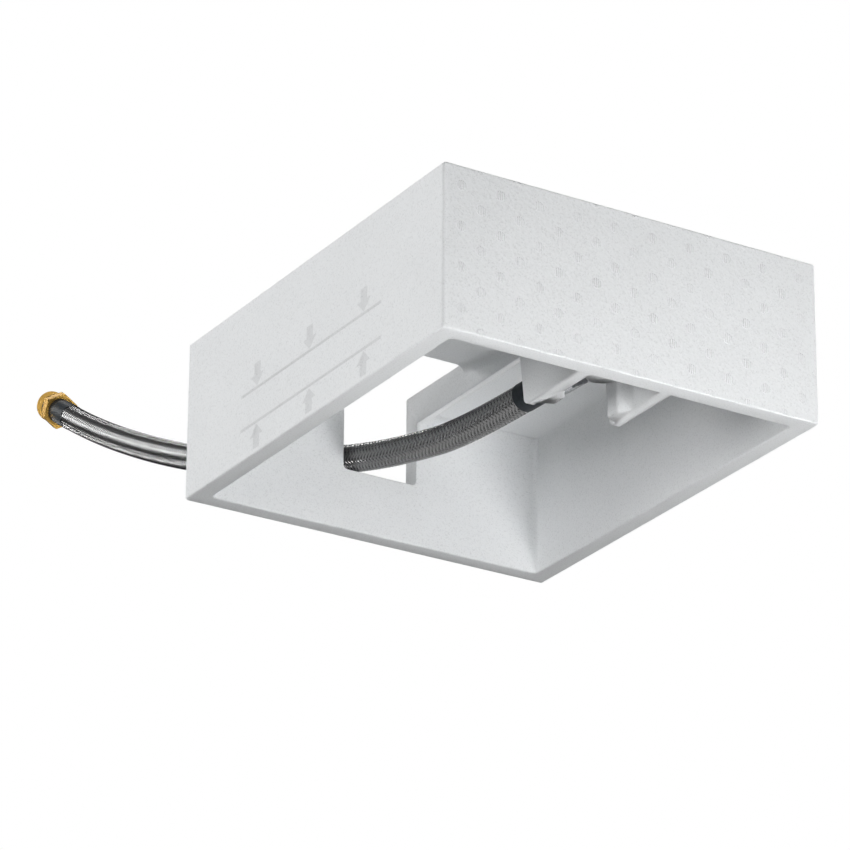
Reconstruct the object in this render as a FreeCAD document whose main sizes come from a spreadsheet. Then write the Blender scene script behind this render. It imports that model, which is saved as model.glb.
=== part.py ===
import FreeCAD
import Part
import Sketcher
import math
import os

# Concealed body of an overhead shower: a moulded foam box, open downwards, that is built
# into a ceiling, with a braided connection hose laid through its cut-out.
#
# Millimetres. The origin is the centre of the top face, which lies against the ceiling
# structure. +Z points up, +Y towards the wall that the hose leaves by.

doc = FreeCAD.newDocument("concealed_shower_body")
V = FreeCAD.Vector

# Driving dimensions

SIZES = {
    # foam box
    "box_width": 250,
    "box_length": 290,
    "box_height": 100,
    "wall_thick": 12,
    "plate_thick": 11,
    "outer_corner": 2.2,
    "outer_edge": 1.2,
    "rim_edge": 1,
    "inner_corner": 3,
    # cut-out for the hose, in the +Y wall and the top plate
    "cutout_width": 51,
    "cutout_shift": 1.5,
    "cutout_depth": 66.5,
    "cutout_corner": 3,
    "sill_height": 38.9,
    # channel in the top plate, between two low ribs
    "flank_thick": 4,
    "flank_drop": 9,
    "flank_start": 40,
    "channel_round": 6,
    "ramp_run": 60.5,
    "ramp_lip": 2.5,
    # clip of two tall ribs on the -Y wall
    "clip_gap": 46,
    "clip_thick": 8,
    "clip_reach": 54,
    "clip_lean": 12,
    "clip_corner": 4.5,
    "tip_thick": 4.5,
    "nub_start": 25.5,
    "nub_rise": 8,
    "nub_flat": 10,
    "nub_fall": 4,
    "nub_round": 2,
    "clip_clearance": 2.6,
    # half-round stop between the ribs
    "stop_radius": 9.3,
    "stop_offset": 8.5,
    "stop_recess": 1,
    # place of the hose in the clip
    "fitting_reach": 96.8,
    "fitting_depth": 72.8,
    "fitting_shift": 3.25,
    "fitting_tilt": 1.5,
    "first_run": 64.6,
    # hose
    "hose_diameter": 17.2,
    "liner_diameter": 15.2,
    "liner_bore": 12.4,
    # ferrules
    "ferrule_diameter": 17.6,
    "inner_ferrule_length": 18,
    "outer_ferrule_length": 25,
    "ferrule_lip": 1.5,
    "fit_gap": 0.1,
    "running_gap": 0.3,
    # tails inside the liner
    "tail_start": 1,
    "tail_bore": 9.5,
    "barb_depth": 0.7,
    "barb_pitch": 5,
    # brass end for the supply
    "inlet_flats": 22,
    "inlet_hex_length": 8,
    "dish_width": 1.3,
    "dish_depth": 1.2,
    "thread_diameter": 20.955,
    "thread_length": 11.5,
    "thread_chamfer": 1.2,
    "relief_diameter": 18,
    "relief_length": 2.2,
    "inlet_bore": 13,
    "inlet_bore_depth": 9,
    "seal_thick": 1.7,
    # swivel tail, washer and union nut
    "collar_diameter": 15.6,
    "collar_length": 8.2,
    "shank_diameter": 12.2,
    "shank_clearance": 0.1,
    "flange_diameter": 14.4,
    "flange_thick": 2.5,
    "washer_thick": 2,
    "washer_bore": 10,
    "nut_flats": 20,
    "nut_length": 24,
    "nut_collar_length": 4.5,
    "nut_collar_diameter": 17.6,
    "nut_web": 10,
    "nut_minor_diameter": 15,
    # how far a cutting shape runs past what it cuts
    "overrun": 2,
}

sheet = doc.addObject("Spreadsheet::Sheet", "sizes")
for row, (alias, value) in enumerate(SIZES.items(), start=1):
    sheet.set(f"A{row}", alias)
    sheet.set(f"B{row}", str(value))
    sheet.setAlias(f"B{row}", alias)
doc.recompute()


def bound(expression):
    """The expression with each driving dimension read from the sheet."""
    words = []
    word = ""
    for letter in expression + " ":
        if letter.isalnum() or letter in "_.":
            word += letter
            continue
        words.append(f"sizes.{word}" if word in SIZES else word)
        words.append(letter)
        word = ""
    return "".join(words).strip()


def size(expression):
    """The present value of an expression in the driving dimensions."""
    return float(sheet.evalExpression(bound(expression)))


# Sizes worked out from the driving ones, as expressions

WALL_INSIDE = "(box_length / 2 - wall_thick)"
CUTOUT_LEFT = "(cutout_shift - cutout_width / 2)"
CUTOUT_RIGHT = "(cutout_shift + cutout_width / 2)"
CUTOUT_END = "(box_length / 2 - cutout_depth)"
IN_PLATE = "(plate_thick / 2)"
IN_WALL = "(wall_thick / 2)"

CLIP_END = f"(clip_reach - {WALL_INSIDE})"
NUB_REACH = "(fitting_shift + nut_flats / sqrt(3) + clip_clearance)"

BARB_RADIUS = "(liner_bore / 2 - fit_gap)"
ROOT_RADIUS = "(liner_bore / 2 - fit_gap - barb_depth)"

INLET_HEX_START = "(outer_ferrule_length - dish_depth)"
INLET_HEX_END = f"({INLET_HEX_START} + inlet_hex_length)"
THREAD_START = f"({INLET_HEX_END} + relief_length)"
THREAD_END = f"({THREAD_START} + thread_length)"

COLLAR_END = "(inner_ferrule_length + collar_length)"
NUT_START = f"({COLLAR_END} + running_gap)"
NUT_WEB_END = f"({NUT_START} + nut_web)"
NUT_END = f"({NUT_START} + nut_length)"
FLANGE_START = f"({NUT_WEB_END} + running_gap)"
FLANGE_END = f"({FLANGE_START} + flange_thick)"

# Route of the hose: the corners of its centreline, from the shower end, inside the clip,
# to the supply end. It leaves the clip straight, rests on the sill and sweeps up outside.

tilt = math.radians(size("fitting_tilt"))
HOSE_START = V(-size("fitting_shift"), size(f"fitting_reach - {WALL_INSIDE}"), -size("fitting_depth"))
INTO_CLIP = V(0, -math.cos(tilt), -math.sin(tilt))
HOSE_ROUTE = [
    HOSE_START,
    HOSE_START - INTO_CLIP * size("first_run"),
    V(-8.7, 80, -64),
    V(-13.6, 130, -53.4),
    V(-14, 210, -27),
    V(-2.7, 350, 25.4),
    V(2.1, 495, 96.85),
    V(5.3, 553.9, 133.5),
]
TO_SUPPLY = (HOSE_ROUTE[-1] - HOSE_ROUTE[-2]).normalize()
INNER_END = FreeCAD.Placement(HOSE_ROUTE[0], FreeCAD.Rotation(V(0, 0, 1), INTO_CLIP))
OUTER_END = FreeCAD.Placement(HOSE_ROUTE[-1], FreeCAD.Rotation(V(0, 0, 1), TO_SUPPLY))
ARC_SHARE = 0.45


# Sketches: every point and diameter is an expression, so a changed size redraws them


def new_body(label, placement=None):
    body = doc.addObject("PartDesign::Body", label)
    body.Label = label
    if placement:
        body.Placement = placement
    return body


def new_sketch(body, name, role, height="0"):
    """A sketch on one of the body's origin planes, moved along its normal by height."""
    plane = next(item for item in body.Origin.OriginFeatures if item.Role == role)
    sketch = body.newObject("Sketcher::SketchObject", name)
    sketch.AttachmentSupport = [(plane, "")]
    sketch.MapMode = "FlatFace"
    sketch.setExpression("AttachmentOffset.Base.z", bound(height))
    return sketch


def pin_point(sketch, geometry, end, across, up):
    """Holds a point of the sketch at two expressions, measured from the sketch's origin."""
    for kind, expression in (("DistanceX", across), ("DistanceY", up)):
        rule = Sketcher.Constraint(kind, -1, 1, geometry, end, size(expression))
        index = sketch.addConstraint(rule)
        sketch.setExpression(f"Constraints[{index}]", bound(expression))


def draw_outline(sketch, corners):
    """A closed outline of straight lines through corners, each a pair of expressions."""
    first = sketch.GeometryCount
    count = len(corners)
    points = [V(size(across), size(up), 0) for across, up in corners]
    for i in range(count):
        sketch.addGeometry(Part.LineSegment(points[i], points[(i + 1) % count]), False)
    for i in range(count):
        following = first + (i + 1) % count
        sketch.addConstraint(Sketcher.Constraint("Coincident", first + i, 2, following, 1))
    for i, (across, up) in enumerate(corners):
        pin_point(sketch, first + i, 1, across, up)


def draw_rectangle(sketch, left, right, bottom, top):
    draw_outline(sketch, [(left, bottom), (right, bottom), (right, top), (left, top)])


def draw_circle(sketch, diameter, across="0", up="0"):
    circle = Part.Circle(V(size(across), size(up), 0), V(0, 0, 1), size(diameter) / 2)
    index = sketch.addGeometry(circle, False)
    pin_point(sketch, index, 3, across, up)
    rule = sketch.addConstraint(Sketcher.Constraint("Diameter", index, size(diameter)))
    sketch.setExpression(f"Constraints[{rule}]", bound(diameter))


def draw_hexagon(sketch, flats, upright=False):
    """A regular hexagon of a given width across flats, with two corners on the X or Y axis."""
    reach, half_reach, flat = f"{flats} / sqrt(3)", f"{flats} / 2 / sqrt(3)", f"{flats} / 2"
    corners = [(f"-{half_reach}", f"-{flat}"), (half_reach, f"-{flat}"), (reach, "0")]
    corners += [(half_reach, flat), (f"-{half_reach}", flat), (f"-{reach}", "0")]
    if upright:
        corners = [(up, across) for across, up in reversed(corners)]
    draw_outline(sketch, corners)


# Features


def add_feature(body, kind, name, sketch, length, reverse=False, midplane=False):
    """A Pad or Pocket of the sketch, bound to a length."""
    feature = body.newObject(f"PartDesign::{kind}", name)
    feature.Profile = sketch
    feature.Reversed = reverse
    feature.Midplane = midplane
    feature.setExpression("Length", bound(length))
    doc.recompute()
    return feature


def add_turned(body, kind, name, outline):
    """A Revolution or Groove of an outline of (radius, height) pairs, once round the Z axis."""
    sketch = new_sketch(body, f"{name}_outline", "XZ_Plane")
    draw_outline(sketch, outline)
    feature = body.newObject(f"PartDesign::{kind}", name)
    feature.Profile = sketch
    feature.ReferenceAxis = (sketch, ["V_Axis"])
    feature.Angle = 360
    doc.recompute()
    return feature


def dress_edges(body, kind, name, amount, width, chosen):
    base = body.Tip
    edges = [f"Edge{i}" for i, edge in enumerate(base.Shape.Edges, start=1) if chosen(edge)]
    if not edges:
        raise RuntimeError(f"{name}: no edge found")
    feature = body.newObject(f"PartDesign::{kind}", name)
    feature.Base = (base, edges)
    feature.setExpression(amount, bound(width))
    doc.recompute()
    return feature


def round_edges(body, name, radius, chosen):
    """A fillet on those edges of the body's last feature that chosen accepts."""
    return dress_edges(body, "Fillet", name, "Radius", radius, chosen)


def bevel_edges(body, name, width, chosen):
    """A 45 degree chamfer on those edges of the body's last feature that chosen accepts."""
    return dress_edges(body, "Chamfer", name, "Size", width, chosen)


def near(value, expression):
    return abs(value - size(expression)) < 0.01


def is_upright(edge):
    box = edge.BoundBox
    return box.ZLength > 1 and box.XLength < 0.01 and box.YLength < 0.01


# Foam box


def make_block(body):
    """The outside of the box, with its rounded vertical and top edges, and the recess."""
    outside = new_sketch(body, "outside", "XY_Plane", "-box_height")
    draw_rectangle(outside, "-box_width / 2", "box_width / 2", "-box_length / 2", "box_length / 2")
    add_feature(body, "Pad", "block", outside, "box_height")
    round_edges(body, "outer_corners", "outer_corner", is_upright)
    round_edges(body, "top_edges", "outer_edge", lambda edge: near(edge.BoundBox.ZMin, "0"))

    inside = new_sketch(body, "inside", "XY_Plane", "-box_height")
    across = "(box_width / 2 - wall_thick)"
    draw_rectangle(inside, f"-{across}", across, f"-{WALL_INSIDE}", WALL_INSIDE)
    add_feature(body, "Pocket", "recess", inside, "box_height - plate_thick", reverse=True)

    def in_recess(edge):
        return is_upright(edge) and abs(edge.BoundBox.XMin) < size(f"{across} + 0.01")

    round_edges(body, "inner_corners", "inner_corner", in_recess)
    bevel_edges(body, "rim_edges", "rim_edge", lambda edge: near(edge.BoundBox.ZMax, "-box_height"))


def make_channel(body):
    """The hose's way out: two low ribs, the cut-out, and the ramp and its rounded sides."""
    bottom = "-(plate_thick + flank_drop)"
    flanks = new_sketch(body, "flank_outlines", "XY_Plane", bottom)
    start, end = f"flank_start - {WALL_INSIDE}", f"{WALL_INSIDE} + {IN_WALL}"
    draw_rectangle(flanks, f"{CUTOUT_LEFT} - flank_thick", CUTOUT_LEFT, start, end)
    draw_rectangle(flanks, CUTOUT_RIGHT, f"{CUTOUT_RIGHT} + flank_thick", start, end)
    add_feature(body, "Pad", "flanks", flanks, f"flank_drop + {IN_PLATE}")

    opening = new_sketch(body, "cutout_outline", "XY_Plane", "0")
    draw_rectangle(opening, CUTOUT_LEFT, CUTOUT_RIGHT, CUTOUT_END, "box_length / 2 + overrun")
    add_feature(body, "Pocket", "cutout", opening, "box_height - sill_height")

    ramp = new_sketch(body, "ramp_outline", "YZ_Plane", "cutout_shift")
    foot = f"{CUTOUT_END} - ramp_run"
    draw_outline(
        ramp,
        [
            (foot, "-plate_thick"),
            (CUTOUT_END, "-plate_thick"),
            (CUTOUT_END, "-ramp_lip"),
        ],
    )
    add_feature(body, "Pocket", "ramp", ramp, "cutout_width", midplane=True)

    def beside_channel(edge):
        box = edge.BoundBox
        on_side = near(box.XMin, CUTOUT_LEFT) or near(box.XMin, CUTOUT_RIGHT)
        in_plate = box.ZMin > size("-plate_thick - 0.01") and box.ZMax < size("-ramp_lip + 0.01")
        return on_side and box.XLength < 0.01 and box.YLength > 1 and in_plate

    round_edges(body, "channel_sides", "channel_round", beside_channel)

    def on_sill(edge):
        box = edge.BoundBox
        return near(box.ZMax, "sill_height - box_height") and box.YLength > 1 and box.XLength < 0.01

    round_edges(body, "sill_corners", "cutout_corner", on_sill)


def clip_outline(side):
    """The plan of one tall rib, with the nub that narrows the clip and the thin tip."""
    inner, outer = f"{side} * clip_gap / 2", f"{side} * (clip_gap / 2 + clip_thick)"
    tip = f"{side} * (clip_gap / 2 + clip_thick - tip_thick)"
    nub = f"{side} * {NUB_REACH}"
    nub_foot = f"nub_start - {WALL_INSIDE}"
    nub_top = f"{nub_foot} + nub_rise"
    nub_back = f"{nub_top} + nub_flat"
    end = f"{CLIP_END} + clip_lean"
    root = f"-{WALL_INSIDE} - {IN_WALL}"
    return [
        (outer, root),
        (outer, end),
        (tip, end),
        (tip, f"{nub_back} + nub_fall"),
        (nub, nub_back),
        (nub, nub_top),
        (inner, nub_foot),
        (inner, root),
    ]


def make_clip(body):
    """Two tall ribs that hold the hose's end, and the half-round stop beside them."""
    ribs = new_sketch(body, "clip_outlines", "XY_Plane", "-box_height")
    draw_outline(ribs, clip_outline(-1))
    draw_outline(ribs, clip_outline(1))
    add_feature(body, "Pad", "clip", ribs, f"box_height - {IN_PLATE}")

    lean = new_sketch(body, "clip_lean_outline", "YZ_Plane")
    draw_outline(
        lean,
        [
            (CLIP_END, "-box_height"),
            (f"{CLIP_END} + clip_lean", "-plate_thick"),
            (f"{CLIP_END} + clip_lean + overrun", "-plate_thick"),
            (f"{CLIP_END} + clip_lean + overrun", "-box_height - overrun"),
            (CLIP_END, "-box_height - overrun"),
        ],
    )
    both_ribs = "clip_gap + 2 * clip_thick + overrun"
    add_feature(body, "Pocket", "clip_ends", lean, both_ribs, midplane=True)

    def at_free_corner(edge):
        box = edge.BoundBox
        on_rim = near(box.ZMax, "-box_height") and near(box.YMin, CLIP_END)
        return on_rim and box.XLength > 1 and box.YLength < 0.01

    round_edges(body, "clip_corners", "clip_corner", at_free_corner)

    def on_nub(edge):
        nub_foot = size(f"nub_start - {WALL_INSIDE}")
        nub_end = nub_foot + size("nub_rise + nub_flat + nub_fall")
        box = edge.BoundBox
        return is_upright(edge) and nub_foot - 0.01 < box.YMin < nub_end + 0.01

    round_edges(body, "nub_sides", "nub_round", on_nub)

    stop = new_sketch(body, "stop_outline", "XY_Plane", "stop_recess - box_height")
    draw_circle(stop, "2 * stop_radius", "stop_offset - clip_gap / 2", f"-{WALL_INSIDE}")
    add_feature(body, "Pad", "stop", stop, f"box_height - stop_recess - {IN_PLATE}")


def make_foam_housing():
    body = new_body("foam_housing")
    make_block(body)
    make_channel(body)
    make_clip(body)
    return body


# Fittings: each is drawn along its own Z axis, from the end of the braid outwards


def ferrule(label, length, placement):
    """A crimp sleeve over the liner, with a lip that closes it round the tail's neck."""
    body = new_body(label, placement)
    outer, inner = "ferrule_diameter / 2", "(liner_diameter / 2 + fit_gap)"
    lip = f"({BARB_RADIUS} + fit_gap)"
    outline = [
        (inner, "0"),
        (outer, "0"),
        (outer, length),
        (lip, length),
        (lip, f"{length} - ferrule_lip"),
        (inner, f"{length} - ferrule_lip"),
    ]
    add_turned(body, "Revolution", "sleeve", outline)
    return body


def barbs(count):
    """Saw teeth along a tail: each rises to the liner's bore and drops back to the root."""
    outline = []
    for i in range(count):
        foot = f"tail_start + {i} * barb_pitch"
        outline.append((ROOT_RADIUS, foot))
        outline.append((BARB_RADIUS, f"{foot} + barb_pitch"))
    return outline


def make_inlet_fitting():
    """The brass end: barbed tail, hexagon with a dished back, seal groove and male thread."""
    body = new_body("inlet_fitting", OUTER_END)
    hexagon = new_sketch(body, "hexagon_outline", "XY_Plane", INLET_HEX_START)
    draw_hexagon(hexagon, "inlet_flats")
    add_feature(body, "Pad", "hexagon", hexagon, "inlet_hex_length")
    chamfer_hexagon(body, "back_chamfer", "inlet_flats", INLET_HEX_START, -1)
    chamfer_hexagon(body, "front_chamfer", "inlet_flats", INLET_HEX_END, 1)

    dish = "inlet_flats / 2 - dish_width"
    dish_outline = [
        ("0", f"{INLET_HEX_START} - overrun"),
        (dish, f"{INLET_HEX_START} - overrun"),
        (dish, "outer_ferrule_length"),
        ("0", "outer_ferrule_length"),
    ]
    add_turned(body, "Groove", "dish", dish_outline)

    thread = "thread_diameter / 2"
    shaft = [("0", "tail_start")]
    shaft += barbs(OUTER_BARBS)
    shaft += [
        (BARB_RADIUS, "outer_ferrule_length + dish_depth"),
        ("relief_diameter / 2", "outer_ferrule_length + dish_depth"),
        ("relief_diameter / 2", THREAD_START),
        (thread, THREAD_START),
        (thread, f"{THREAD_END} - thread_chamfer"),
        (f"{thread} - thread_chamfer", THREAD_END),
        ("0", THREAD_END),
    ]
    add_turned(body, "Revolution", "shaft", shaft)

    bore = [
        ("0", "tail_start - overrun"),
        ("tail_bore / 2", "tail_start - overrun"),
        ("tail_bore / 2", f"{THREAD_END} - inlet_bore_depth"),
        ("inlet_bore / 2", f"{THREAD_END} - inlet_bore_depth"),
        ("inlet_bore / 2", f"{THREAD_END} + overrun"),
        ("0", f"{THREAD_END} + overrun"),
    ]
    add_turned(body, "Groove", "bore", bore)
    return body


def chamfer_hexagon(body, name, flats, height, side):
    """Turns the corners of a hexagon down to its flats, at 30 degrees, on one face."""
    beyond = f"{flats} / sqrt(3) + overrun"
    drop = f"({beyond} - {flats} / 2) / sqrt(3)"
    outline = [
        (f"{flats} / 2", height),
        (beyond, f"{height} - {side} * {drop}"),
        (beyond, f"{height} + {side} * overrun"),
        (f"{flats} / 2", f"{height} + {side} * overrun"),
    ]
    add_turned(body, "Groove", name, outline)


def flat_ring(label, placement, bore, outer, start, thick):
    """A flat seal, from one height along the fitting's axis."""
    body = new_body(label, placement)
    face = f"{start} + {thick}"
    outline = [(bore, start), (outer, start), (outer, face), (bore, face)]
    add_turned(body, "Revolution", "ring", outline)
    return body


def make_inlet_seal():
    """The flat seal in the groove between the brass hexagon and the thread."""
    bore, outer = "(relief_diameter / 2 + fit_gap)", "(thread_diameter / 2 + fit_gap)"
    return flat_ring("inlet_seal", OUTER_END, bore, outer, INLET_HEX_END, "seal_thick")


def make_swivel_tail():
    """The tail that carries the union nut: barbs, a stop collar, a shank and a flange."""
    body = new_body("swivel_tail", INNER_END)
    collar, bore = "collar_diameter / 2", "tail_bore / 2"
    outline = [(bore, "tail_start")]
    outline += barbs(INNER_BARBS)
    outline += [
        (BARB_RADIUS, "inner_ferrule_length"),
        (collar, "inner_ferrule_length"),
        (collar, COLLAR_END),
        ("shank_diameter / 2", COLLAR_END),
        ("shank_diameter / 2", FLANGE_START),
        ("flange_diameter / 2", FLANGE_START),
        ("flange_diameter / 2", FLANGE_END),
        (bore, FLANGE_END),
    ]
    add_turned(body, "Revolution", "tail", outline)
    return body


def make_nut_washer():
    bore, outer = "washer_bore / 2", "flange_diameter / 2"
    return flat_ring("nut_washer", INNER_END, bore, outer, FLANGE_END, "washer_thick")


def make_union_nut():
    """The hexagon nut that turns on the shank, with a round collar and a female thread."""
    body = new_body("union_nut", INNER_END)
    hexagon_start = f"({NUT_START} + nut_collar_length)"
    hexagon = new_sketch(body, "hexagon_outline", "XY_Plane", hexagon_start)
    draw_hexagon(hexagon, "nut_flats", upright=True)
    add_feature(body, "Pad", "hexagon", hexagon, "nut_length - nut_collar_length")
    chamfer_hexagon(body, "back_chamfer", "nut_flats", hexagon_start, -1)

    collar = new_sketch(body, "collar_outline", "XY_Plane", NUT_START)
    draw_circle(collar, "nut_collar_diameter")
    add_feature(body, "Pad", "collar", collar, "nut_collar_length")

    shank = "shank_diameter / 2 + shank_clearance"
    minor = "nut_minor_diameter / 2"
    outline = [
        ("0", f"{NUT_START} - overrun"),
        (shank, f"{NUT_START} - overrun"),
        (shank, NUT_WEB_END),
        (minor, NUT_WEB_END),
        (minor, f"{NUT_END} + overrun"),
        ("0", f"{NUT_END} + overrun"),
    ]
    add_turned(body, "Groove", "bore", outline)
    return body


# Hose: straight runs joined by tangent arcs, as large as the runs allow


def hose_corners():
    """For each bend of the route: where its arc starts, its middle, its end, its radius."""
    corners = []
    for before, corner, after in zip(HOSE_ROUTE, HOSE_ROUTE[1:], HOSE_ROUTE[2:]):
        into, out = before - corner, after - corner
        cut = ARC_SHARE * min(into.Length, out.Length)
        into.normalize()
        out.normalize()
        half_turn = (math.pi - into.getAngle(out)) / 2
        radius = cut / math.tan(half_turn)
        bisector = (into + out).normalize()
        middle = corner + bisector * (radius / math.cos(half_turn) - radius)
        corners.append((corner + into * cut, middle, corner + out * cut, radius))
    return corners


def hose_path(inner_reach, outer_reach):
    """The centreline as one wire, carried on into the two fittings by the given lengths."""
    edges = []
    start = HOSE_ROUTE[0] + INTO_CLIP * inner_reach
    for arc_start, middle, arc_end, radius in hose_corners():
        edges.append(Part.LineSegment(start, arc_start).toShape())
        edges.append(Part.Arc(arc_start, middle, arc_end).toShape())
        start = arc_end
    end = HOSE_ROUTE[-1] + TO_SUPPLY * outer_reach
    edges.append(Part.LineSegment(start, end).toShape())
    return Part.Wire(edges)


def sweep(path, diameter):
    """A round bar along a path that starts inside the clip."""
    ring = Part.makeCircle(size(diameter) / 2, path.OrderedVertexes[0].Point, INTO_CLIP)
    return path.makePipeShell([Part.Wire(ring)], True, False)


def make_hose():
    """The hose as one tube: braid between the ferrules, and its liner on into both of them."""
    inner_grip = size("inner_ferrule_length - ferrule_lip - running_gap")
    outer_grip = size("outer_ferrule_length - ferrule_lip - running_gap")
    free = hose_path(0, 0)
    gripped = hose_path(inner_grip, outer_grip)
    shape = sweep(free, "hose_diameter").fuse(sweep(gripped, "liner_diameter"))
    shape = shape.cut(sweep(gripped, "liner_bore")).removeSplitter()
    if len(shape.Solids) == 1:
        shape = shape.Solids[0]
    hose = doc.addObject("Part::Feature", "connection_hose")
    hose.Label = "connection_hose"
    hose.Shape = shape
    braided = math.pi / 4 * (size("hose_diameter") ** 2 - size("liner_diameter") ** 2)
    lined = math.pi / 4 * (size("liner_diameter") ** 2 - size("liner_bore") ** 2)
    expected = braided * free.Length + lined * gripped.Length
    print(f"hose: free length {free.Length:.1f}, volume {shape.Volume:.0f}, expected {expected:.0f}")
    return hose


OUTER_BARBS = 2
INNER_BARBS = 1

parts = [
    make_foam_housing(),
    make_hose(),
    ferrule("outer_ferrule", "outer_ferrule_length", OUTER_END),
    make_inlet_fitting(),
    make_inlet_seal(),
    ferrule("inner_ferrule", "inner_ferrule_length", INNER_END),
    make_swivel_tail(),
    make_union_nut(),
    make_nut_washer(),
]
doc.recompute()
print("bend radii:", ", ".join(f"{radius:.0f}" for _, _, _, radius in hose_corners()))

# Checks, then one STEP file for each sub-part

for item in doc.Objects:
    if "Invalid" in item.State or "Error" in item.State:
        raise RuntimeError(f"{item.Name} failed: {item.State}")
for part in parts:
    if part.Shape.isNull() or not part.Shape.isValid() or len(part.Shape.Solids) != 1:
        raise RuntimeError(f"{part.Label} is not one valid solid")

os.makedirs("parts", exist_ok=True)
for part in parts:
    part.Shape.exportStep(f"parts/{part.Label}.step")
    box = part.Shape.BoundBox
    corners = (box.XMin, box.YMin, box.ZMin, box.XMax, box.YMax, box.ZMax)
    print(part.Label, f"{part.Shape.Volume:.0f}", " ".join(f"{corner:.2f}" for corner in corners))
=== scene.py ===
import math

import bmesh
import bpy
from mathutils import Matrix, Vector


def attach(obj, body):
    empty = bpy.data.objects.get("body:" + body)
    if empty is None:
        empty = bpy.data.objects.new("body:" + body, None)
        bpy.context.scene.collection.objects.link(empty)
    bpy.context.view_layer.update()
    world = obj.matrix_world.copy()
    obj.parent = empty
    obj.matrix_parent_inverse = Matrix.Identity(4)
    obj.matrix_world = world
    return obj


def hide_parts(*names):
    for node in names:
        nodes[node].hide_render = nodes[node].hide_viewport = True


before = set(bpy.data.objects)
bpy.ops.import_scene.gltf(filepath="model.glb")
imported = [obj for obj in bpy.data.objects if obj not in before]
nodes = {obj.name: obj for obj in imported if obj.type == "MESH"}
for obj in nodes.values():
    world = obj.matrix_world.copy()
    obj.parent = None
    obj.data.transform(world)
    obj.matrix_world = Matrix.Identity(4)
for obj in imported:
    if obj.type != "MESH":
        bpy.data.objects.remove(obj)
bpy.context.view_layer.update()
MM = 0.001

# Camera at the photograph's angle, looking up into the box

camera_data = bpy.data.cameras.new("photo_camera")
camera_data.lens = 201.73
camera_data.sensor_width = 36
camera_data.clip_end = 40
camera = bpy.data.objects.new("photo_camera", camera_data)
bpy.context.scene.collection.objects.link(camera)
RIGHT = Vector((0.8526751, -0.5224024, 0.0063947))
UP = Vector((-0.2128612, -0.3362060, 0.9174179))
BACK = Vector((-0.4771114, -0.7836206, -0.3978737))
camera.matrix_world = Matrix.Translation((-1.349289, -2.137370, -1.172360)) @ Matrix(
    (RIGHT, UP, BACK)
).transposed().to_4x4()
bpy.context.scene.camera = camera

# Light: a white world that the camera and the metal see, soft lamps for the foam, and small lamps for
# the metal's bright bands

scene = bpy.context.scene
scene.view_settings.view_transform = "Standard"


def shown_or_lit(tree, shown, lit, output):
    """What the camera, metal and glass see is the first shader; all other light meets the second."""
    path_kind = tree.nodes.new("ShaderNodeLightPath")
    seen = path_kind.outputs["Is Camera Ray"]
    for kind in ("Is Glossy Ray", "Is Transmission Ray"):
        either = tree.nodes.new("ShaderNodeMath")
        either.operation = "MAXIMUM"
        tree.links.new(seen, either.inputs[0])
        tree.links.new(path_kind.outputs[kind], either.inputs[1])
        seen = either.outputs[0]
    blend = tree.nodes.new("ShaderNodeMixShader")
    tree.links.new(seen, blend.inputs[0])
    tree.links.new(lit, blend.inputs[1])
    tree.links.new(shown, blend.inputs[2])
    tree.links.new(blend.outputs[0], output.inputs["Surface"])


world = bpy.data.worlds.new("studio")
scene.world = world
world.use_nodes = True
tree = world.node_tree
tree.nodes.clear()
output = tree.nodes.new("ShaderNodeOutputWorld")
ambient = tree.nodes.new("ShaderNodeBackground")
ambient.inputs["Color"].default_value = (0.97, 0.99, 1.0, 1)
ambient.inputs["Strength"].default_value = 0.075
backdrop = tree.nodes.new("ShaderNodeBackground")
backdrop.inputs["Color"].default_value = (1, 1, 1, 1)
shown_or_lit(tree, backdrop.outputs[0], ambient.outputs[0], output)


def soft_lamp(name, place, target, width, power):
    data = bpy.data.lights.new(name, "AREA")
    data.shape = "SQUARE"
    data.size = width
    data.energy = power
    lamp = bpy.data.objects.new(name, data)
    lamp.location = place
    aim = Vector(target) - Vector(place)
    lamp.rotation_mode = "QUATERNION"
    lamp.rotation_quaternion = aim.to_track_quat("-Z", "Y")
    scene.collection.objects.link(lamp)
    return lamp


soft_lamp("lamp_front", (0.3, -2.6, 0.4), (0, 0, -0.05), 1.2, 4)
soft_lamp("lamp_low", (0.25, -0.82, -0.5), (0, 0, -0.1), 0.35, 6.2)
soft_lamp("lamp_left", (-2.2, -0.3, -0.35), (0, 0, -0.1), 1.0, 26).visible_glossy = False
soft_lamp("lamp_back", (-1.15, 2.0, 1.15), (0, 0.3, 0.05), 0.7, 28).visible_glossy = False
soft_lamp("lamp_above", (0.3, 0.6, 2.4), (0, 0.2, 0), 2.0, 24).visible_glossy = False
soft_lamp("lamp_right", (2.2, 0.3, 0.5), (0, 0, -0.05), 1.0, 24).visible_glossy = False
rim_lamp = soft_lamp("lamp_rim", (-0.16, -0.22, -0.42), (-0.14, -0.18, -0.1), 0.15, 0.3)
rim_lamp.visible_glossy = False
rim_lamp.visible_camera = False
for name, place, width, power in (
    ("spark_below", (-0.65, -0.33, -1.1), 0.12, 20),
    ("spark_under", (-0.1, 0.05, -1.3), 0.3, 2),
    ("spark_centre", (-1.15, 2.0, 1.15), 0.5, 18),
    ("spark_over", (0.15, 1.45, 2.1), 0.22, 6),
    ("spark_behind", (-0.15, 2.7, 0.15), 0.25, 7),
):
    soft_lamp(name, place, (0, 0.15, 0), width, power).visible_diffuse = False


def new_material(name):
    """A node material and its shader, with nothing linked to it yet."""
    made = bpy.data.materials.new(name)
    made.use_nodes = True
    return made, made.node_tree, made.node_tree.nodes["Principled BSDF"]


def add_node(tree, kind, **values):
    """A node with its inputs or, where it has no such input, its properties set."""
    node = tree.nodes.new(kind)
    for key, value in values.items():
        if key in node.inputs:
            node.inputs[key].default_value = value
        else:
            setattr(node, key, value)
    return node


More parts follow.
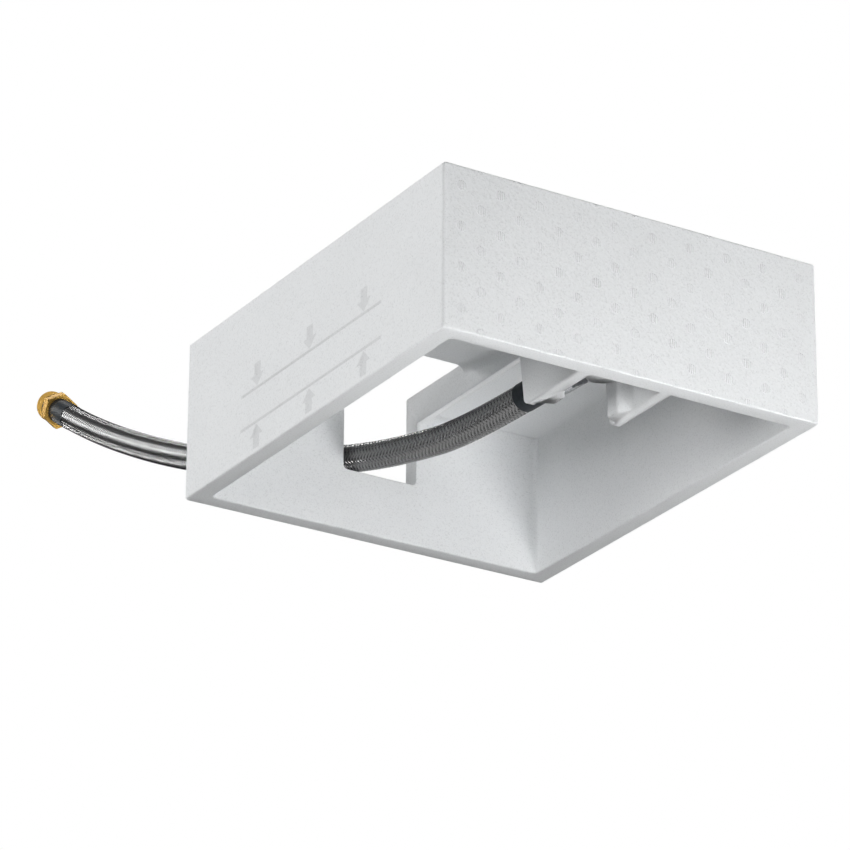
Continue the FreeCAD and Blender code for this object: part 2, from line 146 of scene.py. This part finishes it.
def colour_ramp(tree, factor, stops):
    ramp = tree.nodes.new("ShaderNodeValToRGB")
    elements = ramp.color_ramp.elements
    while len(elements) < len(stops):
        elements.new(0.5)
    for element, (place, colour) in zip(elements, stops):
        element.position = place
        element.color = (*colour, 1) if len(colour) == 3 else colour
    tree.links.new(factor, ramp.inputs["Fac"])
    return ramp.outputs["Color"]


def grey(level):
    return (level, level, level)


def bump(tree, shader, height, strength, distance, under=None):
    node = add_node(tree, "ShaderNodeBump", Strength=strength, Distance=distance)
    tree.links.new(height, node.inputs["Height"])
    if under:
        tree.links.new(under, node.inputs["Normal"])
    tree.links.new(node.outputs["Normal"], shader.inputs["Normal"])
    return node.outputs["Normal"]


# Moulded foam: pressed beads with fine seams between them, and a few open pits


def make_foam(name, level, edge, vents=False):
    made, tree, shader = new_material(name)
    place = tree.nodes.new("ShaderNodeTexCoord")
    beads = add_node(tree, "ShaderNodeTexVoronoi", feature="SMOOTH_F1", Scale=420.0, Smoothness=0.35)
    grain = add_node(tree, "ShaderNodeTexNoise", Scale=900.0, Detail=3.0, Roughness=0.6)
    specks = add_node(tree, "ShaderNodeTexNoise", Scale=1100.0, Detail=2.0, Roughness=0.5)
    clouds = add_node(tree, "ShaderNodeTexNoise", Scale=22.0, Detail=3.0)
    for texture in (beads, grain, specks, clouds):
        tree.links.new(place.outputs["Object"], texture.inputs["Vector"])
    low, high = grey(level * 0.975), grey(level)
    tint = colour_ramp(tree, clouds.outputs["Fac"], [(0.3, low), (0.7, high)])
    speckle_stops = [(0.3, grey(0.86)), (0.42, grey(0.97)), (0.6, grey(1.0))]
    speckle = colour_ramp(tree, specks.outputs["Fac"], speckle_stops)
    mixed = add_node(tree, "ShaderNodeMix", data_type="RGBA", blend_type="MULTIPLY")
    mixed.inputs[0].default_value = 1.0
    tree.links.new(tint, mixed.inputs[6])
    tree.links.new(speckle, mixed.inputs[7])
    cool = add_node(tree, "ShaderNodeMix", data_type="RGBA", blend_type="MULTIPLY")
    cool.inputs[0].default_value = 1.0
    cool.inputs[7].default_value = (0.975, 0.99, 1.0, 1)
    tree.links.new(mixed.outputs[2], cool.inputs[6])
    tree.links.new(cool.outputs[2], shader.inputs["Base Color"])
    shader.inputs["Roughness"].default_value = 0.7
    shader.inputs["Specular IOR Level"].default_value = 0.25
    soft = add_node(tree, "ShaderNodeBevel", samples=6, Radius=edge)
    first = bump(tree, shader, beads.outputs["Distance"], 0.35, 0.0003, under=soft.outputs["Normal"])
    second = bump(tree, shader, grain.outputs["Fac"], 0.3, 0.0002, under=first)
    if vents:
        bump(tree, shader, vent_height(tree, place.outputs["Object"]), 0.6, 0.00055, under=second)
    return made


VENT_PITCH = (25.2 * MM, 1.0, 24.8 * MM)
VENT_PLACES = ((-88.6 * MM, 0.0, -12.2 * MM), (-76.0 * MM, 0.0, -24.6 * MM))
VENT_RADIUS = 3.3 * MM


def vector_math(tree, operation, first, second=None):
    node = add_node(tree, "ShaderNodeVectorMath", operation=operation)
    tree.links.new(first, node.inputs[0])
    if second:
        node.inputs[1].default_value = second
    return node


def scalar_math(tree, operation, first, second):
    node = add_node(tree, "ShaderNodeMath", operation=operation)
    tree.links.new(first, node.inputs[0])
    if isinstance(second, float):
        node.inputs[1].default_value = second
    else:
        tree.links.new(second, node.inputs[1])
    return node.outputs[0]


def vent_height(tree, place):
    """The height of the round, slotted vent prints, in a staggered grid on the -Y face."""
    nearest = None
    for origin in VENT_PLACES:
        moved = vector_math(tree, "SUBTRACT", place, origin)
        counted = vector_math(tree, "DIVIDE", moved.outputs[0], VENT_PITCH)
        shifted = vector_math(tree, "ADD", counted.outputs[0], (0.5, 0.5, 0.5))
        within = vector_math(tree, "FRACTION", shifted.outputs[0])
        centred = vector_math(tree, "SUBTRACT", within.outputs[0], (0.5, 0.5, 0.5))
        flat = vector_math(tree, "MULTIPLY", centred.outputs[0], (VENT_PITCH[0], 0.0, VENT_PITCH[2]))
        reach = vector_math(tree, "LENGTH", flat.outputs[0]).outputs["Value"]
        nearest = reach if nearest is None else scalar_math(tree, "MINIMUM", nearest, reach)
    share = scalar_math(tree, "DIVIDE", nearest, VENT_RADIUS)
    disc = colour_ramp(tree, share, [(0.82, grey(1.0)), (1.0, grey(0.0))])
    split = tree.nodes.new("ShaderNodeSeparateXYZ")
    tree.links.new(place, split.inputs[0])
    slots = scalar_math(tree, "PINGPONG", split.outputs["X"], 0.7 * MM)
    ridges = scalar_math(tree, "DIVIDE", slots, 0.7 * MM)
    raised = scalar_math(tree, "MULTIPLY", disc, ridges)
    depth = scalar_math(tree, "MULTIPLY", split.outputs["Y"], -1.0)
    on_face = scalar_math(tree, "GREATER_THAN", depth, 0.1446)
    return scalar_math(tree, "MULTIPLY", raised, on_face)


# Metals

WIRES = 6


def make_braid():
    """Fine wires across each strand as a bump, and painted shade: each strand near black at both edges and
    darker than bare steel over the middle.
    """
    made, tree, shader = new_material("braid_wire")
    strip = add_node(tree, "ShaderNodeUVMap", uv_map="strand")
    split = tree.nodes.new("ShaderNodeSeparateXYZ")
    tree.links.new(strip.outputs["UV"], split.inputs[0])
    wires = add_node(tree, "ShaderNodeMath", operation="MULTIPLY")
    wires.inputs[1].default_value = WIRES * 2 * math.pi
    tree.links.new(split.outputs["X"], wires.inputs[0])
    ridge = add_node(tree, "ShaderNodeMath", operation="COSINE")
    tree.links.new(wires.outputs[0], ridge.inputs[0])
    # Painted shade: the strand colour falls to near black at its edges for the shade in the gaps between
    # strands, and the middle is kept dark for the shade among the wires.
    strand_gap_shade, wire = grey(0.01), grey(0.21)
    shade = colour_ramp(tree, split.outputs["X"], [(0.0, strand_gap_shade), (0.3, wire), (0.7, wire), (1.0, strand_gap_shade)])
    tree.links.new(shade, shader.inputs["Base Color"])
    shader.inputs["Metallic"].default_value = 1.0
    shader.inputs["Roughness"].default_value = 0.25
    shader.inputs["Anisotropic"].default_value = 0.55
    drawn = add_node(tree, "ShaderNodeTangent", direction_type="UV_MAP", uv_map="strand")
    tree.links.new(drawn.outputs["Tangent"], shader.inputs["Tangent"])
    bump(tree, shader, ridge.outputs[0], 0.12, 0.0001)
    return made


def make_metal(name, colour, rough, scale, wear):
    """A metal with turned or drawn fine marks, and light patches of wear."""
    made, tree, shader = new_material(name)
    place = tree.nodes.new("ShaderNodeTexCoord")
    fine = add_node(tree, "ShaderNodeTexNoise", Scale=scale, Detail=5.0, Roughness=0.65)
    patches = add_node(tree, "ShaderNodeTexNoise", Scale=scale / 12, Detail=2.0)
    for texture in (fine, patches):
        tree.links.new(place.outputs["Object"], texture.inputs["Vector"])
    darker = tuple(c * (1 - wear) for c in colour)
    shade = colour_ramp(tree, patches.outputs["Fac"], [(0.3, darker), (0.7, colour)])
    tree.links.new(shade, shader.inputs["Base Color"])
    roughness = colour_ramp(tree, fine.outputs["Fac"], [(0.3, grey(rough * 0.8)), (0.7, grey(rough * 1.25))])
    tree.links.new(roughness, shader.inputs["Roughness"])
    shader.inputs["Metallic"].default_value = 1.0
    bump(tree, shader, fine.outputs["Fac"], 0.03, 0.0001)
    return made


def make_dark(name, colour, rough, scale):
    """A dark, slightly mottled rubber or coated surface."""
    made, tree, shader = new_material(name)
    place = tree.nodes.new("ShaderNodeTexCoord")
    fine = add_node(tree, "ShaderNodeTexNoise", Scale=scale, Detail=4.0)
    tree.links.new(place.outputs["Object"], fine.inputs["Vector"])
    lighter = tuple(c * 1.5 for c in colour)
    shade = colour_ramp(tree, fine.outputs["Fac"], [(0.35, colour), (0.7, lighter)])
    tree.links.new(shade, shader.inputs["Base Color"])
    shader.inputs["Roughness"].default_value = rough
    shader.inputs["Specular IOR Level"].default_value = 0.12
    bump(tree, shader, fine.outputs["Fac"], 0.15, 0.0001)
    return made


FOAM = make_foam("foam_beads", 0.88, 1.0 * MM, vents=True)
# The sunk marks get a darker foam: painted shade in the grooves.
FOAM_MARK_SHADE = make_foam("foam_marks_shaded", 0.78, 0.8 * MM)
FOAM_RIB = make_foam("foam_ribs", 0.88, 3.2 * MM)
BRAID = make_braid()
BRASS = make_metal("brass_turned", (0.55, 0.33, 0.08), 0.33, 700.0, 0.18)
NICKEL = make_metal("nickel_plate", (0.42, 0.43, 0.45), 0.25, 600.0, 0.2)
SLEEVE = make_dark("sleeve_coated", (0.014, 0.018, 0.022), 0.5, 500.0)
RUBBER = make_dark("seal_rubber", (0.02, 0.02, 0.022), 0.6, 900.0)


def finish_node(name, made):
    """A carried-over CAD node with a material."""
    item = nodes[name]
    item.data.materials.clear()
    item.data.materials.append(made)


finish_node("outer_ferrule", SLEEVE)
finish_node("inner_ferrule", SLEEVE)
finish_node("swivel_tail", BRASS)
finish_node("union_nut", NICKEL)
finish_node("inlet_seal", RUBBER)
finish_node("nut_washer", RUBBER)


def add_mesh(name, mesh, body, material):
    item = bpy.data.objects.new(name, mesh)
    scene.collection.objects.link(item)
    mesh.materials.clear()
    mesh.materials.append(material)
    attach(item, body)
    return item


# Hose: one spline through the route's points, a dark core, and strands woven over it

ROUTE = [
    (-3.25, -36.2, -72.8),
    (-3.25, 28.38, -71.11),
    (-8.7, 80, -64),
    (-13.6, 130, -53.4),
    (-14, 210, -27),
    (-2.7, 350, 25.4),
    (2.1, 495, 96.85),
    (5.3, 553.9, 133.5),
]
HOSE_DIAMETER = 0.0172
STRANDS = 16
LEAD = 52.8 * MM
STRAND_WIDTH = 2.3 * MM
STRAND_THICK = 0.34 * MM
STRAND_SWAY = 0.17 * MM


def make_spline(name, depth):
    data = bpy.data.curves.new(name, "CURVE")
    data.dimensions = "3D"
    data.resolution_u = 48
    data.bevel_depth = depth
    data.bevel_resolution = 6
    spline = data.splines.new("NURBS")
    spline.points.add(len(ROUTE) - 1)
    for point, place in zip(spline.points, ROUTE):
        point.co = (*(Vector(place) * MM), 1)
    spline.order_u = 3
    spline.use_endpoint_u = True
    item = bpy.data.objects.new(name, data)
    scene.collection.objects.link(item)
    return item


guide = make_spline("hose_guide", 0)
bpy.context.view_layer.update()
guide_mesh = bpy.data.meshes.new_from_object(guide)
line = [vertex.co.copy() for vertex in guide_mesh.vertices]
bpy.data.objects.remove(guide)


def frames_along(points, step):
    """Points a step apart along a line, each with two directions across it that don't twist."""
    reach = [0.0]
    for before, after in zip(points, points[1:]):
        reach.append(reach[-1] + (after - before).length)
    count = round(reach[-1] / step)
    across = Vector((1, 0, 0))
    made = []
    k = 0
    for i in range(count + 1):
        along = reach[-1] * i / count
        while k < len(points) - 2 and reach[k + 1] < along:
            k += 1
        share = (along - reach[k]) / (reach[k + 1] - reach[k])
        direction = (points[k + 1] - points[k]).normalized()
        across = (across - direction * across.dot(direction)).normalized()
        made.append((along, points[k].lerp(points[k + 1], share), across.copy(), direction.cross(across)))
    return made


def make_strands():
    """Two families of flat strands that wind opposite ways, each over two and under two."""
    mesh = bmesh.new()
    layer = mesh.loops.layers.uv.new("strand")
    stations = frames_along(line, LEAD / STRANDS / 4)
    middle = HOSE_DIAMETER / 2 - STRAND_THICK / 2 - STRAND_SWAY
    profile = [(-0.5, -0.24), (-0.2, 0.0), (0.2, 0.0), (0.5, -0.24)]
    lean = math.cos(math.atan(2 * math.pi * middle / LEAD))
    for hand in (1, -1):
        for strand in range(STRANDS):
            rows = []
            for along, centre, across, up in stations:
                turns = hand * along / LEAD + strand / STRANDS
                crossing = 2 * strand + hand * 2 * STRANDS * along / LEAD
                sway = hand * math.cos(math.pi / 2 * (crossing - 0.5))
                row = []
                for side, drop in profile:
                    angle = 2 * math.pi * turns + side * STRAND_WIDTH / lean / middle
                    radius = middle + STRAND_SWAY * sway + STRAND_THICK / 2 + drop * MM
                    row.append(
                        mesh.verts.new(centre + (across * math.cos(angle) + up * math.sin(angle)) * radius)
                    )
                rows.append((along, row))
            for (start, first), (end, second) in zip(rows, rows[1:]):
                for k in range(len(profile) - 1):
                    corners = [first[k], first[k + 1], second[k + 1], second[k]]
                    places = [(k, start), (k + 1, start), (k + 1, end), (k, end)]
                    face = mesh.faces.new(corners)
                    face.smooth = True
                    for loop, (column, along) in zip(face.loops, places):
                        loop[layer].uv = (profile[column][0] + 0.5, along / STRAND_WIDTH)
    made = bpy.data.meshes.new("hose_strands")
    mesh.to_mesh(made)
    mesh.free()
    return made


# Brass end: the CAD part's outline turned, with a hexagon, a dished back and a real thread

FLATS = 22
HEX_TURN = math.radians(25.85)
HEX_FROM, HEX_TO = 23.8, 31.8
DISH = 9.7
THREAD_FROM, THREAD_TO = 34.0, 45.5
THREAD_RADIUS = 10.4775
THREAD_PITCH = 1.814
THREAD_DEPTH = 1.16
TURNED_STEPS = 96


def ring(mesh, radius, height, steps=TURNED_STEPS):
    """Points round the axis; radius and height are numbers or read the angle."""
    points = []
    for i in range(steps):
        angle = 2 * math.pi * i / steps
        r = radius(angle) if callable(radius) else radius
        h = height(angle) if callable(height) else height
        points.append(mesh.verts.new(Vector((r * math.cos(angle), r * math.sin(angle), h)) * MM))
    return points


def skin(mesh, rings, smooth=True):
    for first, second in zip(rings, rings[1:]):
        for i in range(len(first)):
            j = (i + 1) % len(first)
            face = mesh.faces.new((first[i], first[j], second[j], second[i]))
            face.smooth = smooth


def hexagon_corners(mesh, height, flats):
    points = []
    for i in range(6):
        angle = HEX_TURN + math.pi / 3 * i
        reach = flats / math.sqrt(3)
        points.append(mesh.verts.new(Vector((reach * math.cos(angle), reach * math.sin(angle), height)) * MM))
    return points


def flat_to_round(mesh, corners, circle, flip):
    """Fills between six corners and a circle in one plane."""
    count = len(circle)
    for i in range(6):
        start = round((HEX_TURN + math.pi / 3 * i) / (2 * math.pi) * count)
        end = round((HEX_TURN + math.pi / 3 * (i + 1)) / (2 * math.pi) * count)
        arc = [circle[k % count] for k in range(start, end + 1)]
        face = [corners[i], *arc, corners[(i + 1) % 6]]
        mesh.faces.new(face[::-1] if flip else face)


def threaded(mesh):
    """Rings up the thread: a sharp helical groove that fades out at both ends."""
    rings = [ring(mesh, 9.0, THREAD_FROM)]
    rows = 6 * round((THREAD_TO - THREAD_FROM) / THREAD_PITCH)
    for row in range(rows + 1):
        height = THREAD_FROM + (THREAD_TO - THREAD_FROM) * row / rows
        fade = min(1.0, (height - THREAD_FROM) / 1.0, (THREAD_TO - height) / 0.6)
        taper = max(0.0, height - (THREAD_TO - 1.2))

        def reach(angle, height=height, fade=fade, taper=taper):
            turn = (height / THREAD_PITCH + angle / (2 * math.pi)) % 1.0
            groove = max(0.0, 1.0 - abs(turn - 0.5) / 0.42)
            return min(THREAD_RADIUS - THREAD_DEPTH * groove * fade, THREAD_RADIUS - taper)

        rings.append(ring(mesh, reach, height))
    return rings


def make_brass_end():
    mesh = bmesh.new()
    back = hexagon_corners(mesh, HEX_FROM, FLATS)
    edge_out = hexagon_corners(mesh, HEX_TO - 0.9, FLATS)
    front = hexagon_corners(mesh, HEX_TO, FLATS - 1.8)
    for first, second in ((back, edge_out), (edge_out, front)):
        skin(mesh, [first, second], smooth=False)
    dish_edge = ring(mesh, DISH + 0.15, HEX_FROM)
    dish_wall = ring(mesh, DISH, HEX_FROM + 0.2)
    dish_floor = ring(mesh, DISH - 0.1, HEX_FROM + 1.2)
    neck = ring(mesh, 6.1, HEX_FROM + 1.2)
    tail = ring(mesh, 6.1, 1.0)
    flat_to_round(mesh, back, dish_edge, True)
    skin(mesh, [tail, neck, dish_floor, dish_wall, dish_edge])
    relief = ring(mesh, 9.0, HEX_TO)
    flat_to_round(mesh, front, relief, False)
    rings = [relief, *threaded(mesh)]
    bore = [(9.2, THREAD_TO), (6.5, THREAD_TO), (6.5, 36.5), (4.75, 36.5), (4.75, 1.0)]
    rings += [ring(mesh, radius, height) for radius, height in bore]
    skin(mesh, [*rings, tail])
    bmesh.ops.recalc_face_normals(mesh, faces=mesh.faces)
    out = (Vector(ROUTE[-1]) - Vector(ROUTE[-2])).normalized()
    turn = Vector((0, 0, 1)).rotation_difference(out).to_matrix().to_4x4()
    mesh.transform(Matrix.Translation(Vector(ROUTE[-1]) * MM) @ turn)
    made = bpy.data.meshes.new("brass_end")
    mesh.to_mesh(made)
    mesh.free()
    made.set_sharp_from_angle(angle=math.radians(35))
    return made


brass_end = add_mesh("brass_end", make_brass_end(), "box", BRASS)
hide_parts("inlet_fitting")

# The hose: woven strands over a dark core, in place of the CAD hose

braid = add_mesh("hose_braid", make_strands(), "box", BRAID)
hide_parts("connection_hose")
core = make_spline("hose_core", HOSE_DIAMETER / 2 - 0.6 * MM)
core.data.use_fill_caps = True
core.data.materials.append(RUBBER)
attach(core, "box")

# Foam box: the CAD solid with the moulded marks sunk into its long side

LINE_HALF = 79
LINE_DEPTHS = (-59.2, -80.8)
ARROWS = [(y, z, way) for y in (60, 0, -60) for z, way in ((-58.2, 1), (-82.2, -1))]
MARK_DEPTH = 0.9
MARK_LEAN = 0.7


def sunk_shape(mesh, outline):
    """A closed cutter for an outline of (y, z) points in the long side, with sloping walls."""
    middle = sum((Vector(point) for point in outline), Vector((0, 0))) / len(outline)
    face = -125.0
    rings = []
    for x, grow in ((face - 1.0, 2.0), (face, 0.0), (face + MARK_DEPTH, -MARK_LEAN)):
        corners = []
        for i, point in enumerate(outline):
            before = (Vector(point) - Vector(outline[i - 1])).normalized()
            after = (Vector(outline[(i + 1) % len(outline)]) - Vector(point)).normalized()
            out = (Vector((before.y, -before.x)) + Vector((after.y, -after.x))).normalized()
            moved = Vector(point) + out * grow / max(0.5, out.dot(Vector((after.y, -after.x))))
            corners.append(mesh.verts.new(Vector((x, moved.x, moved.y)) * MM))
        rings.append(corners)
    for first, second in zip(rings, rings[1:]):
        for i in range(len(outline)):
            j = (i + 1) % len(outline)
            mesh.faces.new((first[i], first[j], second[j], second[i]))
    mesh.faces.new(rings[0][::-1])
    mesh.faces.new(rings[-1])


def arrow_outline(y, z, way):
    shape = [(0, 0), (-7.5, 7.4), (-3.6, 7.4), (-3.6, 15), (3.6, 15), (3.6, 7.4), (7.5, 7.4)]
    points = [(y + across, z + way * up) for across, up in shape]
    return points if way < 0 else points[::-1]


def line_outline(z):
    return [(-LINE_HALF, z - 1), (LINE_HALF, z - 1), (LINE_HALF, z + 1), (-LINE_HALF, z + 1)]


def make_cutter():
    mesh = bmesh.new()
    for y, z, way in ARROWS:
        sunk_shape(mesh, arrow_outline(y, z, way))
    for z in LINE_DEPTHS:
        sunk_shape(mesh, line_outline(z))
    bmesh.ops.recalc_face_normals(mesh, faces=mesh.faces)
    made = bpy.data.meshes.new("marks")
    mesh.to_mesh(made)
    mesh.free()
    item = bpy.data.objects.new("marks", made)
    scene.collection.objects.link(item)
    return item


def applied(item):
    """The mesh of an object with its modifiers applied."""
    graph = bpy.context.evaluated_depsgraph_get()
    return bpy.data.meshes.new_from_object(item.evaluated_get(graph))


def make_housing():
    raw = bpy.data.objects.new("housing_raw", nodes["foam_housing"].data.copy())
    scene.collection.objects.link(raw)
    mesh = bmesh.new()
    mesh.from_mesh(raw.data)
    bmesh.ops.remove_doubles(mesh, verts=mesh.verts, dist=1e-6)
    mesh.to_mesh(raw.data)
    mesh.free()
    cutter = make_cutter()
    cut = raw.modifiers.new("marks", "BOOLEAN")
    cut.object = cutter
    cut.operation = "DIFFERENCE"
    cut.solver = "EXACT"
    cut.use_self = True
    made = applied(raw)
    bpy.data.objects.remove(raw)
    bpy.data.objects.remove(cutter)
    return shaded(made)


def shaded(mesh):
    """Smooth shading that leaves the large flat faces flat."""
    for face in mesh.polygons:
        face.use_smooth = True
    mesh.set_sharp_from_angle(angle=math.radians(32))
    item = bpy.data.objects.new("housing_shaded", mesh)
    scene.collection.objects.link(item)
    weighted = item.modifiers.new("weighted", "WEIGHTED_NORMAL")
    weighted.mode = "FACE_AREA"
    weighted.weight = 100
    weighted.keep_sharp = True
    made = applied(item)
    bpy.data.objects.remove(item)
    made.name = "housing_foam"
    return made


housing = add_mesh("housing_foam", make_housing(), "box", FOAM)
housing.data.materials.append(FOAM_MARK_SHADE)
housing.data.materials.append(FOAM_RIB)
SHADED_MARK_ZONE = ((-0.12495, -0.085, -0.0985), (-0.1235, 0.085, -0.04))
RIBS = ((-0.0325, -0.1332, -1.0), (0.0325, -0.06, -0.012))


def within(place, limits):
    low, high = limits
    return all(a < value < b for a, value, b in zip(low, place, high))


# Faces inside the sunk marks take the darker foam, painted shade in the grooves; the ribs take the foam with
# the softer edge rounding.
for face in housing.data.polygons:
    if within(face.center, SHADED_MARK_ZONE):
        face.material_index = 1
    if within(face.center, RIBS):
        face.material_index = 2
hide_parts("foam_housing")

# Floor, and a dark card behind the object that the metal mirrors and the camera doesn't see

FLOOR_HALF, FLOOR_LEVEL = 12.0, -6.0
CARD_HALF, CARD_BACK, CARD_FRONT = 2.8, 3.1, 0.9
CARD_FOOT, CARD_BEND, CARD_TOP = -1.1, 2.9, 3.4


def stage_sheet(name, corners, faces, material):
    mesh = bpy.data.meshes.new(name)
    mesh.from_pydata(corners, [], faces)
    item = bpy.data.objects.new(name, mesh)
    scene.collection.objects.link(item)
    mesh.materials.append(material)
    return item


floor_corners = [
    (-FLOOR_HALF, -FLOOR_HALF, FLOOR_LEVEL),
    (FLOOR_HALF, -FLOOR_HALF, FLOOR_LEVEL),
    (FLOOR_HALF, FLOOR_HALF, FLOOR_LEVEL),
    (-FLOOR_HALF, FLOOR_HALF, FLOOR_LEVEL),
]
pale_floor, floor_tree, floor_shader = new_material("pale_floor")
floor_shader.inputs["Base Color"].default_value = (0.7, 0.7, 0.7, 1)
floor_shader.inputs["Roughness"].default_value = 0.9
glow = add_node(floor_tree, "ShaderNodeEmission", Color=(0.9, 0.9, 0.9, 1))
shown_or_lit(floor_tree, glow.outputs[0], floor_shader.outputs[0], floor_tree.nodes["Material Output"])
stage_sheet("floor", floor_corners, [(0, 1, 2, 3)], pale_floor)

card_corners = [
    (-CARD_HALF, CARD_BACK, CARD_FOOT),
    (CARD_HALF, CARD_BACK, CARD_FOOT),
    (CARD_HALF, CARD_BACK, CARD_BEND),
    (-CARD_HALF, CARD_BACK, CARD_BEND),
    (CARD_HALF, CARD_FRONT, CARD_TOP),
    (-CARD_HALF, CARD_FRONT, CARD_TOP),
]
card_faces = [(0, 1, 2, 3), (3, 2, 4, 5)]
dark_cloth, _, card_shader = new_material("dark_cloth")
card_shader.inputs["Base Color"].default_value = (0.02, 0.022, 0.025, 1)
card_shader.inputs["Roughness"].default_value = 1.0
card = stage_sheet("dark_card", card_corners, card_faces, dark_cloth)
card.visible_camera = False
card.visible_diffuse = False
